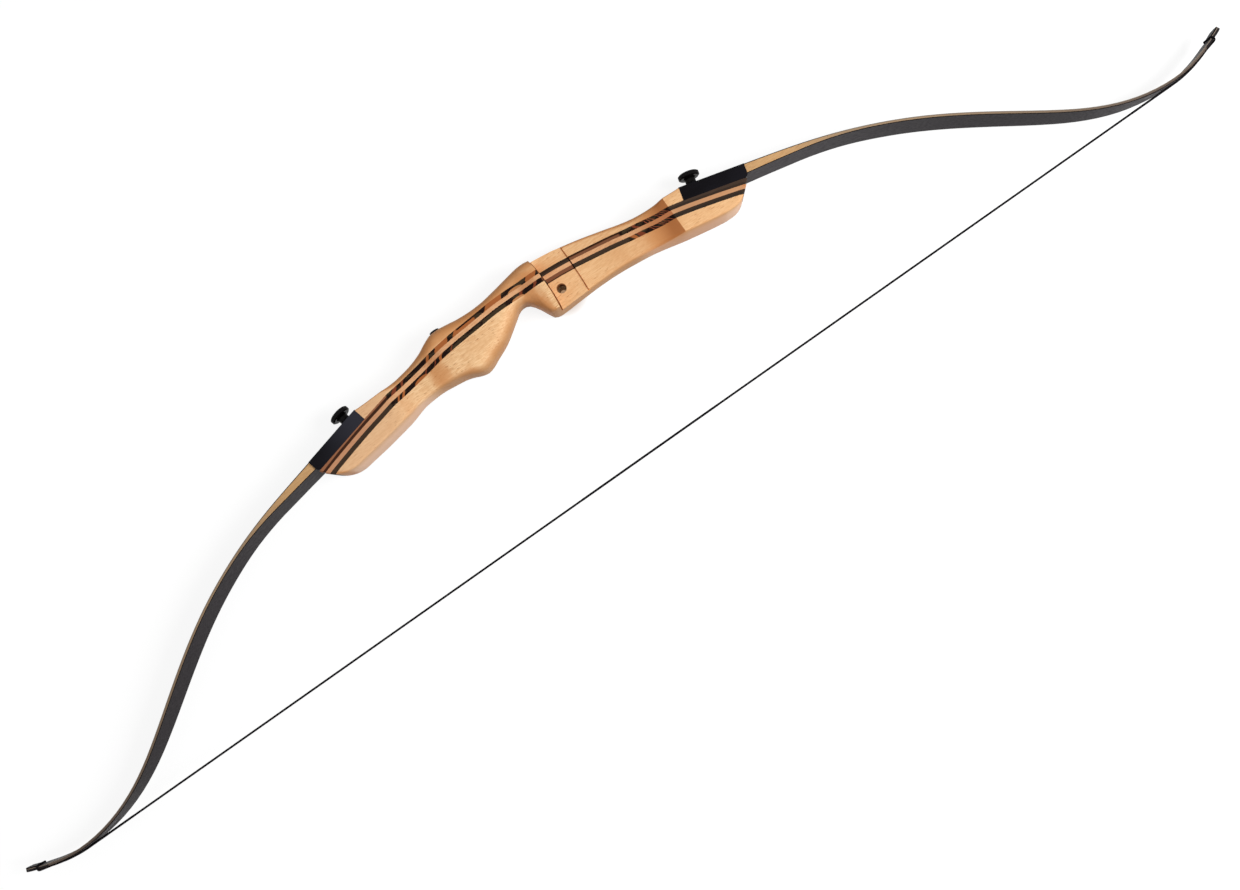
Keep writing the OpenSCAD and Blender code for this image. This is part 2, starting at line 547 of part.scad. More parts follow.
touch_low = lower_track[track_steps];
touch_up = upper_track[track_steps];
function reversed(p) = [for (i = [len(p) - 1 : -1 : 0]) p[i]];
main_path = concat(lower_track, reversed(upper_track));
function unit(v) = v / norm(v);
function path_dir(p, i) = p[min(i + 1, len(p) - 1)] - p[max(i - 1, 0)];
function plane_ring(p, d, r) =
  let (n = [-d[1], d[0]] / norm(d))
  [for (k = [0 : tube_sides - 1]) let (a = 360 * (k + 0.5) / tube_sides)
     [p[0] + n[0] * r * cos(a), p[1] + n[1] * r * cos(a), r * sin(a)]];
function path_rings(p, r) = [for (i = [0 : len(p) - 1]) plane_ring(p[i], path_dir(p, i), r)];

// Half of a loop, from inside the string round one side of the tip to the middle of its back.
// Each row is the distance back from the tip, the height above the limb back and the place across.
loop_r = 1.05;
loop_sides = 10;
tip_thick = limb_thick(limb_length - 15);
under = -tip_thick - seat_in_groove;
loop_over = loop_r + 0.15;
loop_spots = [[29, under, 0.12], [25.5, under - 0.15, 1.3], [22, -tip_thick - loop_r - 0.2, 4],
  [19, -tip_thick - loop_r - 0.25, 7], [16.9, -tip_thick - 0.8, 8.5], [15.6, -tip_thick / 2, 8.5],
  [15.9, -0.2, 8.3], [16.4, 1.1, 7.2], [16.4, loop_over, 5.2], [16.4, loop_over, 0]];
function loop_path(e, walk, bend) =
  [for (p = loop_spots)
     let (q = to_bow(e, limb_point(walk, bend, limb_length - p[0], p[1]))) [q[0], q[1], p[2]]];
// Directions across a path in space, carried along it without twist
function side_dirs(p) =
  [for (i = 0, n = unit(cross(path_dir(p, 0), [0, 0, 1])); i < len(p);
        i = i + 1, n = i < len(p) ? let (t = unit(path_dir(p, i))) unit(n - (n * t) * t) : n) n];
function space_rings(p, r) =
  let (side = side_dirs(p), angles = [for (k = [0 : loop_sides - 1]) 360 * k / loop_sides])
  [for (i = [0 : len(p) - 1])
     let (b = cross(unit(path_dir(p, i)), side[i]))
     [for (a = angles) p[i] + r * (cos(a) * side[i] + sin(a) * b)]];
module string_loop(e, walk, bend) for (half = [0, 1]) mirror([0, 0, half])
  ring_solid(space_rings(loop_path(e, walk, bend), loop_r));
module bowstring() color("#1c181c") in_row() union() {
  ring_solid(path_rings(main_path, string_r));
  string_loop(lower_end, lower_walk, lower_bend);
  string_loop(upper_end, upper_walk, upper_bend);
}

// Servings, each a sleeve around part of the string
module sleeve(p) {
  outer = path_rings(p, string_r + serving_wall);
  inner = path_rings(p, string_r);
  n = tube_sides;
  m = len(p);
  pts = concat([for (r = outer) for (q = r) q], [for (r = inner) for (q = r) q]);
  walls = [for (k = [0 : m - 2]) for (i = [0 : n - 1])
    let (j = (i + 1) % n, a = k * n + i, b = k * n + j, c = a + m * n, d = b + m * n)
    each [[a, a + n, b], [b, a + n, b + n], [c + n, c, d], [c + n, d, d + n]]];
  ends = [for (i = [0 : n - 1]) let (j = (i + 1) % n, z = (m - 1) * n)
    each [[i + m * n, i, j + m * n], [j + m * n, i, j],
          [z + j, z + i, z + j + m * n], [z + j + m * n, z + i, z + i + m * n]]];
  polyhedron(points = pts, faces = concat(walls, ends), convexity = 6);
}
function along(a, b, d) = a + unit(b - a) * d;
nock_point = along(touch_low, touch_up, (nock_u - touch_low[0]) / unit(touch_up - touch_low)[0]);
// Share of the centre serving that lies below the nocking point
serving_below = 0.62;
serving_skip = 3;
function length_of(p, i = 0) = i >= len(p) - 1 ? 0 : norm(p[i + 1] - p[i]) + length_of(p, i + 1);
// An end serving starts on the limb, past the loop, and runs along the straight string
function end_serving(track, away) =
  let (on_limb = [for (i = [serving_skip : track_steps]) track[i]])
  concat(on_limb, [along(track[track_steps], away, end_serving_length - length_of(on_limb))]);
module centre_serving() color("#29242a") in_row()
  sleeve([along(nock_point, touch_low, serving_below * centre_serving_length),
    along(nock_point, touch_up, (1 - serving_below) * centre_serving_length)]);
module lower_end_serving() color("#29242a") in_row() sleeve(end_serving(lower_track, touch_up));
module upper_end_serving() color("#29242a") in_row() sleeve(reversed(end_serving(upper_track, touch_low)));

riser_back_block();
riser_back_stripe();
riser_centre_strip();
riser_belly_stripe();
riser_belly_block();
plunger_bushing();
stabilizer_bushing();
sight_bushings();
lower_limb_insert();
upper_limb_insert();
lower_limb_pocket();
upper_limb_pocket();
pocket_screws();
limb_alignment_pins();
lower_limb_back_glass();
lower_limb_core();
lower_limb_belly_glass();
lower_tip_overlay();
upper_limb_back_glass();
upper_limb_core();
upper_limb_belly_glass();
upper_tip_overlay();
lower_bolt_washer();
upper_bolt_washer();
lower_limb_bolt();
upper_limb_bolt();
lower_bolt_knob();
upper_bolt_knob();
bowstring();
centre_serving();
lower_end_serving();
upper_end_serving();
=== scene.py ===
"""Looks of a takedown recurve bow that lies strung on its side, in a plain white studio."""
import math

import bmesh
import bpy
from mathutils import Matrix, Vector


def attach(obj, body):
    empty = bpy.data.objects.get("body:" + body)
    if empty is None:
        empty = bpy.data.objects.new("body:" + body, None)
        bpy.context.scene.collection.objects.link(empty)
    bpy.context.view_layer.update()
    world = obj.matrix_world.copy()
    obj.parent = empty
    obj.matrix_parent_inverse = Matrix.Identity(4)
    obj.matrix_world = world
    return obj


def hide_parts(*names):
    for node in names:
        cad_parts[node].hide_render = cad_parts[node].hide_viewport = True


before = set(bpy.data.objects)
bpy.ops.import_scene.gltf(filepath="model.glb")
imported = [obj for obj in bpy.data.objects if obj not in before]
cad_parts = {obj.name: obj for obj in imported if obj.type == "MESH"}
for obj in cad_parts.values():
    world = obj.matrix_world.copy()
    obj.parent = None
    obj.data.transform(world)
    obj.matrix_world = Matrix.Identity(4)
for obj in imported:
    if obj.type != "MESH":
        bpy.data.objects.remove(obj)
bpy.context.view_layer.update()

MM = 0.001

# Bow coordinates: u along the string, v towards the back, w out of the window side, in millimetres
MIDDLE_U = 5
MIDDLE_V = 130
REST_W = 24


def row_point(u, v, w=0):
    """A point in bow coordinates as a point of the frame, in metres."""
    return Vector((u - MIDDLE_U, v - MIDDLE_V, w + REST_W)) * MM


def stretch(first, last):
    """Two places along the bow as places along the frame's first axis, in metres."""
    return row_point(first, 0).x, row_point(last, 0).x


# Camera, matched to the photograph
IMAGE_WIDTH = 1240
IMAGE_FOCAL = 1083.5
SENSOR_WIDTH = 36
CAMERA_SPOT = row_point(2.4, -77.3, 1241.6)
CAMERA_AIM = row_point(4.5, 25.3, 0)
CAMERA_ROLL = math.radians(35.112)
CLIP_END = 50
# Half a pixel of the photograph at the bow, to the left and up
CAMERA_NUDGE = 0.575 * MM


def make_camera():
    data = bpy.data.cameras.new("camera")
    data.sensor_width = SENSOR_WIDTH
    data.lens = IMAGE_FOCAL / IMAGE_WIDTH * SENSOR_WIDTH
    data.clip_end = CLIP_END
    camera = bpy.data.objects.new("camera", data)
    bpy.context.scene.collection.objects.link(camera)
    back = (CAMERA_SPOT - CAMERA_AIM).normalized()
    side = Vector((0, 1, 0)).cross(back).normalized()
    up = back.cross(side)
    right = side * math.cos(CAMERA_ROLL) - up * math.sin(CAMERA_ROLL)
    top = side * math.sin(CAMERA_ROLL) + up * math.cos(CAMERA_ROLL)
    turn = Matrix((right, top, back)).transposed().to_4x4()
    camera.matrix_world = Matrix.Translation(CAMERA_SPOT + (top - right) * CAMERA_NUDGE) @ turn
    bpy.context.scene.camera = camera


def screen(red, green, blue):
    """A colour that is written as it looks on a screen, from 0 to 255, by the sRGB curve."""
    def linear(value):
        value = value / 255
        return value / 12.92 if value <= 0.04045 else ((value + 0.055) / 1.055) ** 2.4
    return (linear(red), linear(green), linear(blue), 1)


WHITE = (1, 1, 1, 1)
# Nearly all values of a noise lie in this range, round its middle
NOISE_RANGE = (0.3, 0.7)
NOISE_MIDDLE = 0.5


class Tree:
    """A node tree with short calls for its nodes."""

    def __init__(self, tree):
        self.nodes = tree.nodes
        self.links = tree.links

    def put(self, socket, value):
        """Links a socket to another one, or sets its value."""
        if isinstance(value, bpy.types.NodeSocket):
            self.links.new(value, socket)
        else:
            socket.default_value = value

    def maths(self, operation, *values):
        node = self.nodes.new("ShaderNodeMath")
        node.operation = operation
        for socket, value in zip(node.inputs, values):
            self.put(socket, value)
        return node.outputs[0]

    def times(self, first, second):
        return self.maths("MULTIPLY", first, second)

    def blend(self, first, second, share):
        """Two numbers blended, with the share of the second."""
        return self.maths("MULTIPLY_ADD", first, 1 - share, self.times(second, share))

    def oval(self, x, y, middle, reaches):
        """The square of the distance from the middle of an oval, which is 1 on its rim."""
        x = self.maths("DIVIDE", self.maths("SUBTRACT", x, middle[0]), reaches[0])
        y = self.maths("DIVIDE", self.maths("SUBTRACT", y, middle[1]), reaches[1])
        return self.maths("MULTIPLY_ADD", x, x, self.times(y, y))

    def spread(self, value, low, high, out_low=0.0, out_high=1.0, kind="SMOOTHSTEP"):
        """A number that goes from out_low to out_high while a value goes from low to high."""
        node = self.nodes.new("ShaderNodeMapRange")
        node.interpolation_type = kind
        self.put(node.inputs["Value"], value)
        ends = {"From Min": low, "From Max": high, "To Min": out_low, "To Max": out_high}
        for name, end in ends.items():
            node.inputs[name].default_value = end
        return node.outputs["Result"]

    def between(self, value, low, high, soft):
        """A factor that is 1 between two bounds and fades out beyond them."""
        return self.times(self.spread(value, low - soft, low), self.spread(value, high, high + soft, 1, 0))

    def split(self, vector):
        node = self.nodes.new("ShaderNodeSeparateXYZ")
        self.put(node.inputs[0], vector)
        return node.outputs

    def mix(self, factor, first, second):
        node = self.nodes.new("ShaderNodeMix")
        node.data_type = "RGBA"
        self.put(node.inputs["Factor"], factor)
        self.put(node.inputs["A"], first)
        self.put(node.inputs["B"], second)
        return node.outputs["Result"]

    def tinted(self, colour, tint, value, low, high, out_low=0.0, out_high=1.0):
        """A colour that takes on a tint, from out_low to out_high, while a value goes from low to high."""
        return self.mix(self.spread(value, low, high, out_low, out_high), colour, tint)


class Shader(Tree):
    """A material with short calls for its surface."""

    def __init__(self, name, roughness=0.5, metallic=0.0, specular=0.5):
        self.material = bpy.data.materials.new(name)
        self.material.use_nodes = True
        super().__init__(self.material.node_tree)
        self.surface = self.nodes["Principled BSDF"]
        self.surface.inputs["Roughness"].default_value = roughness
        self.surface.inputs["Metallic"].default_value = metallic
        self.surface.inputs["Specular IOR Level"].default_value = specular
        self.place = self.nodes.new("ShaderNodeTexCoord").outputs["Object"]

    def spot(self):
        """The place on the object, in the object's own frame."""
        return self.split(self.place)

    def normal(self):
        """The surface direction in the object's own frame."""
        geometry = self.nodes.new("ShaderNodeNewGeometry")
        turn = self.nodes.new("ShaderNodeVectorTransform")
        turn.vector_type = "NORMAL"
        turn.convert_from = "WORLD"
        turn.convert_to = "OBJECT"
        self.links.new(geometry.outputs["Normal"], turn.inputs[0])
        return self.split(turn.outputs[0])

    def noise(self, waves, detail=2, roughness=0.5, offset=(0, 0, 0)):
        """Noise with so many waves a metre along each axis. The offset keeps layers apart."""
        mapping = self.nodes.new("ShaderNodeMapping")
        mapping.inputs["Scale"].default_value = waves
        mapping.inputs["Location"].default_value = offset
        self.put(mapping.inputs["Vector"], self.place)
        node = self.nodes.new("ShaderNodeTexNoise")
        self.put(node.inputs["Vector"], mapping.outputs["Vector"])
        node.inputs["Scale"].default_value = 1
        node.inputs["Detail"].default_value = detail
        node.inputs["Roughness"].default_value = roughness
        return node.outputs["Fac"]

    def ramp(self, factor, stops):
        node = self.nodes.new("ShaderNodeValToRGB")
        elements = node.color_ramp.elements
        while len(elements) < len(stops):
            elements.new(0.5)
        for element, (position, colour) in zip(elements, stops):
            element.position = position
            element.color = colour
        self.put(node.inputs["Fac"], factor)
        return node.outputs["Color"]

    def colour(self, value):
        self.put(self.surface.inputs["Base Color"], value)

    def bump(self, height, depth_mm):
        node = self.nodes.new("ShaderNodeBump")
        node.inputs["Distance"].default_value = depth_mm * MM
        self.put(node.inputs["Height"], height)
        self.put(self.surface.inputs["Normal"], node.outputs["Normal"])

    def finish(self, figure, smoothest, roughest, depth_mm):
        """Roughness and fine relief that follow one noise."""
        self.put(self.surface.inputs["Roughness"], self.spread(figure, *NOISE_RANGE, smoothest, roughest))
        self.bump(figure, depth_mm)


def smooth_line(shader, value, points):
    """A number that follows a list of points, as a ramp whose stops hold it scaled from 0 to 1."""
    places, heights = zip(*points)
    low, high = min(heights), max(heights)
    first, last = places[0], places[-1]
    stops = []
    for place, height in points:
        level = (height - low) / (high - low)
        stops.append(((place - first) / (last - first), (level, level, level, 1)))
    share = shader.ramp(shader.spread(value, first, last, kind="LINEAR"), stops)
    return shader.maths("MULTIPLY_ADD", share, high - low, low)


# The two relief grooves of the window face. Nothing else of the face lies between these heights
GROOVE_HEIGHTS = (24.4 * MM, 25.88 * MM)
SHELF_GROOVE = stretch(37.5, 44.2)
UPPER_GROOVE = stretch(77.5, 81.5)
GROOVE_SOFT = 0.1 * MM


def painted_groove_shade(shader, colour, shelf_painted_shade, upper_painted_shade):
    """Painted shade: the floors of the grooves take darker, browner colours that stand in for the shade in
    them, one for each groove.
    """
    place = shader.spot()
    deep = shader.between(place["Z"], *GROOVE_HEIGHTS, GROOVE_SOFT)
    for groove, shade in ((SHELF_GROOVE, shelf_painted_shade), (UPPER_GROOVE, upper_painted_shade)):
        inside = shader.between(place["X"], *groove, GROOVE_SOFT)
        colour = shader.mix(shader.times(deep, inside), colour, shade)
    return colour


# Layers of the figure of wood, each as its waves a metre along the bow, across it and through it
WOOD_CLOUDS = (16, 55, 55)
WOOD_PATCHES = (24, 40, 40)
WOOD_SPECKLE = (150, 520, 520)
WOOD_FIBRES = (22, 900, 900)
WOOD_DASHES = (120, 900, 900)
FIBRE_SHARE = 0.45
# Values of the noises between which each layer comes up
STREAK_RANGE = (0.36, 0.64)
CLOUD_RANGE = (0.4, 0.75)
CLOUD_AMOUNT = 0.45
DASH_RANGE = (0.64, 0.74)
PATCH_RANGE = (0.36, 0.54)


def grain_colour(shader, pale, streak, fleck, fleck_amount):
    """Close-grained wood whose fibres run along the bow, with patches of short darker flecks."""
    clouds = shader.noise(WOOD_CLOUDS, detail=3, offset=(3, 1, 2))
    speckle = shader.noise(WOOD_SPECKLE, detail=4, roughness=0.65)
    fibres = shader.noise(WOOD_FIBRES, detail=3)
    tone = shader.blend(speckle, fibres, FIBRE_SHARE)
    body = shader.tinted(streak, pale, tone, *STREAK_RANGE)
    body = shader.tinted(body, streak, clouds, *CLOUD_RANGE, 0, CLOUD_AMOUNT)
    dashes = shader.noise(WOOD_DASHES, detail=1, offset=(7, 5, 1))
    patches = shader.noise(WOOD_PATCHES, detail=1, offset=(1, 8, 4))
    flecked = shader.times(shader.spread(dashes, *DASH_RANGE, 0, fleck_amount),
                           shader.spread(patches, *PATCH_RANGE))
    return shader.mix(flecked, body, fleck), tone


# The pale pinkish tone painted on the belly edge of the end blocks for the light there fades out between
# these heights
EDGE_HEIGHTS = (26 * MM, 47.5 * MM)
# The stretch of grip and window, and the place where the ramp of the upper end begins
GRIP_STRETCH = stretch(-118, 136)
RAMP_START = row_point(120, 0).x
PLACE_SOFT = 35 * MM
# How far the wood's surface leans towards an end, the back or the belly when its tone begins to change
# and when it has changed, from 0 to 1
LOWER_LEAN = (0.03, 0.3)
UPPER_LEAN = (0.1, 0.6)
BACK_LEAN = (0.08, 0.5)
BELLY_LEAN = (0.3, 0.95)
RAMP_LEAN = (0.2, 0.42)
# How much of the painted brown shade shows where the surface leans towards the upper end or the back, then
# anywhere, and how much of the painted shade on the heel of the grip
UPPER_AMOUNT = 0.45
BACK_AMOUNT = 0.95
BROWN_AMOUNT = 0.85
HEEL_AMOUNT = 0.8


def sloped(shader, colour, shade_brown, deep, edge, wear_and_shade):
    """Painted shade by the surface's direction: the wood is browner where it leans towards either end or the
    back, deepest on the ramp, and browner on the heel of the grip. The belly edges of the end blocks take a
    pale pinkish tone painted on for the light there.
    """
    normal = shader.normal()
    place = shader.spot()
    to_lower = shader.times(normal["X"], -1)
    to_belly = shader.times(normal["Y"], -1)
    rising = shader.spread(to_lower, *LOWER_LEAN)
    falling = shader.spread(normal["X"], *UPPER_LEAN, 0, UPPER_AMOUNT)
    back = shader.spread(normal["Y"], *BACK_LEAN, 0, BACK_AMOUNT)
    lean = shader.maths("MAXIMUM", shader.maths("MAXIMUM", rising, falling), back)
    ramp = shader.spread(place["X"], RAMP_START, RAMP_START + PLACE_SOFT)
    steep = shader.times(shader.spread(to_lower, *RAMP_LEAN), ramp)
    belly = shader.spread(to_belly, *BELLY_LEAN)
    grip = shader.between(place["X"], *GRIP_STRETCH, PLACE_SOFT)
    ends = shader.times(belly, shader.maths("SUBTRACT", 1, grip))
    low = shader.spread(place["Z"], *EDGE_HEIGHTS, 1, 0)
    heel = shader.times(shader.times(belly, grip), HEEL_AMOUNT)
    colour = shader.mix(shader.times(ends, low), colour, edge)
    colour = shader.mix(shader.times(lean, BROWN_AMOUNT), colour, shade_brown)
    colour = shader.mix(heel, colour, wear_and_shade)
    return shader.mix(steep, colour, deep)


WOOD_SPECULAR = 0.12
WOOD_ROUGHNESS = (0.45, 0.55)
WOOD_RELIEF = 0.03
# Painted shade: browner spots of the blocks where their surface turns away from the light: the place of each
# along and across the bow, its two reaches and its strength
SHADE_SPOTS = [(-118, 207, 16, 22, 0.55), (-168, 208, 8, 26, 0.2), (22, 205, 12, 20, 0.45),
          (-60, 245, 150, 9, 0.8), (30, 250, 30, 8, 0.5), (188, 205, 26, 40, 0.45),
          (-38, 193, 26, 9, 0.6), (-8, 206, 24, 9, 0.6)]
# A spot fades between these squares of the distance from its middle, which is 1 on its rim
SHADE_SPOT_FADE = (0.1, 1.0)
PLUNGER_HOLE = row_point(53.6, 214.6)
HOLE_SHADE_REACH = (5.4 * MM, 6.4 * MM)


def painted_shade_spots(shader, colour, spot_shade):
    place = shader.spot()
    for u, v, along, across, strength in SHADE_SPOTS:
        square = shader.oval(place["X"], place["Y"], row_point(u, v), (along * MM, across * MM))
        colour = shader.tinted(colour, spot_shade, square, *SHADE_SPOT_FADE, strength, 0)
    return colour


def painted_hole_shade(shader, colour, shade):
    """Painted shade: the edge of the plunger hole is darker."""
    place = shader.spot()
    reach = shader.maths("SQRT", shader.oval(place["X"], place["Y"], PLUNGER_HOLE, (1, 1)))
    return shader.tinted(colour, shade, reach, *HOLE_SHADE_REACH, 1, 0)


# Stretches along the frame, in metres, over which a wood takes on or loses a tint, and the amount of the
# tint at the start and at the end of each
# Painted shade: the lower end of the blocks is darker than the grip, which faces more of the light
BLOCK_LOWER_SHADE = (-0.22, -0.13, 0.6, 0)
BLOCK_WINDOW = (0.03, 0.045, 0, 0.45)
CENTRE_LOWER_END = (-0.24, -0.16, 0.6, 0)
CENTRE_UPPER_END = (0.19, 0.21, 0, 0.75)


def beech():
    shader = Shader("beech", specular=WOOD_SPECULAR)
    colour, tone = grain_colour(shader, pale=screen(252, 212, 163), streak=screen(226, 175, 124),
                                fleck=screen(166, 100, 54), fleck_amount=0.95)
    along = shader.spot()["X"]
    # Painted shade: darker towards the lower end
    colour = shader.tinted(colour, screen(228, 180, 138), along, *BLOCK_LOWER_SHADE)
    colour = shader.tinted(colour, screen(226, 170, 116), along, *BLOCK_WINDOW)
    # Painted shade: browner spots where the surface turns away from the light
    colour = painted_shade_spots(shader, colour, screen(212, 146, 90))
    # Painted shade by surface direction, on the ramp and on the heel of the grip, and a pale pinkish tone
    # painted on the belly edges
    colour = sloped(shader, colour, shade_brown=screen(214, 146, 90), deep=screen(184, 116, 66),
                    edge=screen(248, 204, 172), wear_and_shade=screen(194, 140, 92))
    # Painted shade round the plunger hole
    colour = painted_hole_shade(shader, colour, screen(110, 66, 36))
    # Painted shade in the grooves
    colour = painted_groove_shade(shader, colour, shelf_painted_shade=screen(166, 106, 58), upper_painted_shade=screen(236, 168, 104))
    shader.colour(colour)
    shader.finish(tone, *WOOD_ROUGHNESS, WOOD_RELIEF)
    return shader.material


def centre_wood():
    shader = Shader("centre_wood", specular=WOOD_SPECULAR)
    colour, tone = grain_colour(shader, pale=screen(234, 182, 136), streak=screen(214, 156, 110),
                                fleck=screen(150, 95, 65), fleck_amount=0.5)
    along = shader.spot()["X"]
    colour = shader.tinted(colour, screen(184, 126, 96), along, *CENTRE_LOWER_END)
    colour = shader.tinted(colour, screen(188, 136, 96), along, *CENTRE_UPPER_END)
    # Painted shade by surface direction, as on the blocks, also on the heel of the grip
    shade_brown = screen(190, 124, 76)
    colour = sloped(shader, colour, shade_brown, deep=screen(196, 124, 80), edge=screen(200, 146, 112), wear_and_shade=shade_brown)
    # Painted shade in the grooves of the centre strip
    groove = screen(120, 66, 38)
    shader.colour(painted_groove_shade(shader, colour, groove, groove))
    shader.finish(tone, *WOOD_ROUGHNESS, WOOD_RELIEF)
    return shader.material


# Middle of the centre strip, in bow coordinates
GLUE_LINE = [(-300, 185.5), (-262, 197.2), (-220, 208.4), (-180, 217.7), (-148, 223.3), (-108, 229.5),
             (-83, 232.3), (-49, 235), (-20, 237.6), (0, 237.95), (20, 237.2), (60, 235.1), (78, 233.1),
             (100, 229.6), (130, 224.2), (149, 219.9), (187, 211.6), (201, 209), (223, 203.8), (245, 197.8),
             (265, 192), (300, 181.4)]
PLY_SPECULAR = 0.04
PLY_ROUGHNESS = (0.42, 0.55)
PLY_RELIEF = 0.02
PLY_BLACK = screen(22, 10, 8)
PLY_OLIVE = screen(58, 48, 34)
PLY_RED = screen(122, 60, 38)
PLY_SLIT = screen(150, 80, 54)
PLY_TAN = screen(172, 100, 54)
PLY_ARCH = screen(188, 128, 82)
PLY_DARK = screen(62, 49, 39)
PLY_STREAK = screen(112, 80, 60)
# Painted shade for the grooves of the stripes
PLY_GROOVE_SHADE = screen(26, 14, 10)
PLY_CLOUDS = (60, 200, 200)
PLY_CLOUD_RANGE = (0.48, 0.64)
PLY_FIBRES = (30, 1000, 1000)
PLY_FIBRE_RANGE = (0.42, 0.72)
PLY_FIBRE_AMOUNT = 0.12
SLIT_WIDTH = 0.5
# From the middle of the centre strip to that of a stripe
STRIPE_MIDDLE = 5.3 * MM
# The bars of veneer lean one way up to the first of these places along the frame, and the other way from
# the second on. Their edges waver
LEAN_TURNS = (0.0, 0.1)
VENEER_LEAN = 0.9
WAVER_WAVES = (40, 160, 160)
WAVER_REACH = 8 * MM
BAR_SOFT = 0.5 * MM
# How softly a flat part ends, and how softly it changes its colour across the stripe
PART_SOFT = 3 * MM
CHANGE_SOFT = 0.25 * MM
ARCH_FADE = (0.85, 1.1)


def veneers(shader, place, off_middle, patches):
    """The stripes are veneers glued flat, so a sloping cut brings one after the other to the surface."""
    lean = shader.spread(place["X"], *LEAN_TURNS, -VENEER_LEAN, VENEER_LEAN)
    waver = shader.maths("SUBTRACT", shader.noise(WAVER_WAVES), NOISE_MIDDLE)
    spot = shader.maths("MULTIPLY_ADD", off_middle, lean, place["X"])
    spot = shader.maths("MULTIPLY_ADD", waver, WAVER_REACH, spot)
    clouds = shader.noise(PLY_CLOUDS, offset=(2, 2, 9))
    colour = shader.tinted(PLY_BLACK, PLY_OLIVE, clouds, *PLY_CLOUD_RANGE)
    for first, last, tint in patches:
        colour = shader.mix(shader.between(spot, *stretch(first, last), BAR_SOFT), colour, tint)
    return colour


def arched(shader, colour, along, across, arches):
    """Where the carving just reaches the next veneer, that one shows as an arch."""
    for u, half, base, rise, tint in arches:
        foot = (row_point(u, 0).x, base * MM)
        square = shader.oval(along, across, foot, (half * MM, rise * MM))
        colour = shader.tinted(colour, tint, square, *ARCH_FADE, 1, 0)
    return colour


def striped_ply(name, side, patches, flat_parts, arches):
    """A dark stripe of veneers, on side 1 towards the back or side -1 towards the belly. Each patch is
    a range of places along the bow and its colour. Flat cuts show one veneer: each flat part is a range
    of places, the height across the stripe at which its colour changes, and the colours below and above
    that. Each arch is its place along the bow, half its length, the height of its base, its rise and
    its colour. Heights are measured from the middle of the centre strip."""
    shader = Shader(name, specular=PLY_SPECULAR)
    place = shader.spot()
    along = place["X"]
    middle = smooth_line(shader, along, [row_point(u, v)[:2] for u, v in GLUE_LINE])
    across = shader.maths("SUBTRACT", place["Y"], middle)
    off_middle = shader.maths("SUBTRACT", across, side * STRIPE_MIDDLE)
    colour = veneers(shader, place, off_middle, patches)
    for first, last, change, below, above in flat_parts:
        flat = shader.tinted(below, above, across, change * MM - CHANGE_SOFT, change * MM + CHANGE_SOFT)
        colour = shader.mix(shader.between(along, *stretch(first, last), PART_SOFT), colour, flat)
    colour = arched(shader, colour, along, across, arches)
    streaks = shader.noise(PLY_FIBRES, detail=3)
    colour = shader.tinted(colour, PLY_STREAK, streaks, *PLY_FIBRE_RANGE, 0, PLY_FIBRE_AMOUNT)
    # Painted shade in the grooves of the stripe
    shader.colour(painted_groove_shade(shader, colour, PLY_GROOVE_SHADE, PLY_GROOVE_SHADE))
    shader.finish(streaks, *PLY_ROUGHNESS, PLY_RELIEF)
    return shader.material


def thin_slits(places):
    return [(place, place + SLIT_WIDTH, PLY_SLIT) for place in places]


def back_stripe():
    patches = [(-174.5, -169, PLY_RED), (-161, -158, PLY_RED), (-121.5, -117.5, PLY_TAN),
               (-107, -88, PLY_TAN), (-78.5, -52, PLY_TAN), (-33, -9, PLY_TAN), (25, 39, PLY_TAN),
               (161, 165, PLY_RED)]
    slits = thin_slits((175, 179, 182.5, 189, 193, 196.5, 200.5))
    flat_parts = [(-320, -184, 6.1, screen(62, 36, 24), screen(156, 102, 72)),
                  (-72, -50, 6.1, PLY_TAN, PLY_BLACK),
                  (42, 79, 5, PLY_DARK, screen(50, 37, 28)),
                  (81, 142, 5.9, screen(124, 80, 56), screen(54, 30, 16)),
                  (207, 320, 5.6, screen(52, 42, 35), screen(66, 52, 43))]
    arches = [(8.3, 9.5, 2.4, 3.2, PLY_ARCH)]
    return striped_ply("back_stripe", 1, patches + slits, flat_parts, arches)


def belly_stripe():
    patches = [(-173, -170.5, PLY_TAN), (-165.5, -162.5, PLY_TAN), (-131, -129, PLY_RED),
               (-115, -113.5, PLY_RED), (-107, -103.5, PLY_TAN), (-90, -88.5, PLY_RED), (9, 13, PLY_RED),
               (28, 32, PLY_RED), (155, 159.5, PLY_TAN), (162, 168, PLY_RED)]
    slits = thin_slits((178, 182, 188.5, 192, 196, 200.5))
    flat_parts = [(-320, -184, -5, screen(60, 47, 37), PLY_DARK),
                  (-42, -12, -3.8, PLY_OLIVE, PLY_BLACK),
                  (42, 79, -6.6, screen(70, 42, 28), screen(126, 80, 56)),
                  (81, 148, -5, screen(60, 47, 36), PLY_DARK),
                  (207, 320, -5, screen(48, 40, 34), screen(54, 43, 35))]
    arches = [(-139, 10, -8.2, 3.8, PLY_TAN), (5.5, 8.5, -8.2, 2.8, PLY_ARCH)]
    return striped_ply("belly_stripe", -1, patches + slits, flat_parts, arches)


# Distances from the middle of the frame, in metres: the core greys over the first stretch, darkens over
# the second, and is black from the last place on
CORE_GREYS = (0.33, 0.43)
CORE_GREY_AMOUNT = 0.8
CORE_DARKENS = (0.45, 0.75)
CORE_DARK_AMOUNT = 0.9
CORE_BLACK = 0.806
CORE_BLACK_SOFT = 2 * MM
CORE_ROUGHNESS = (0.45, 0.6)
CORE_RELIEF = 0.02


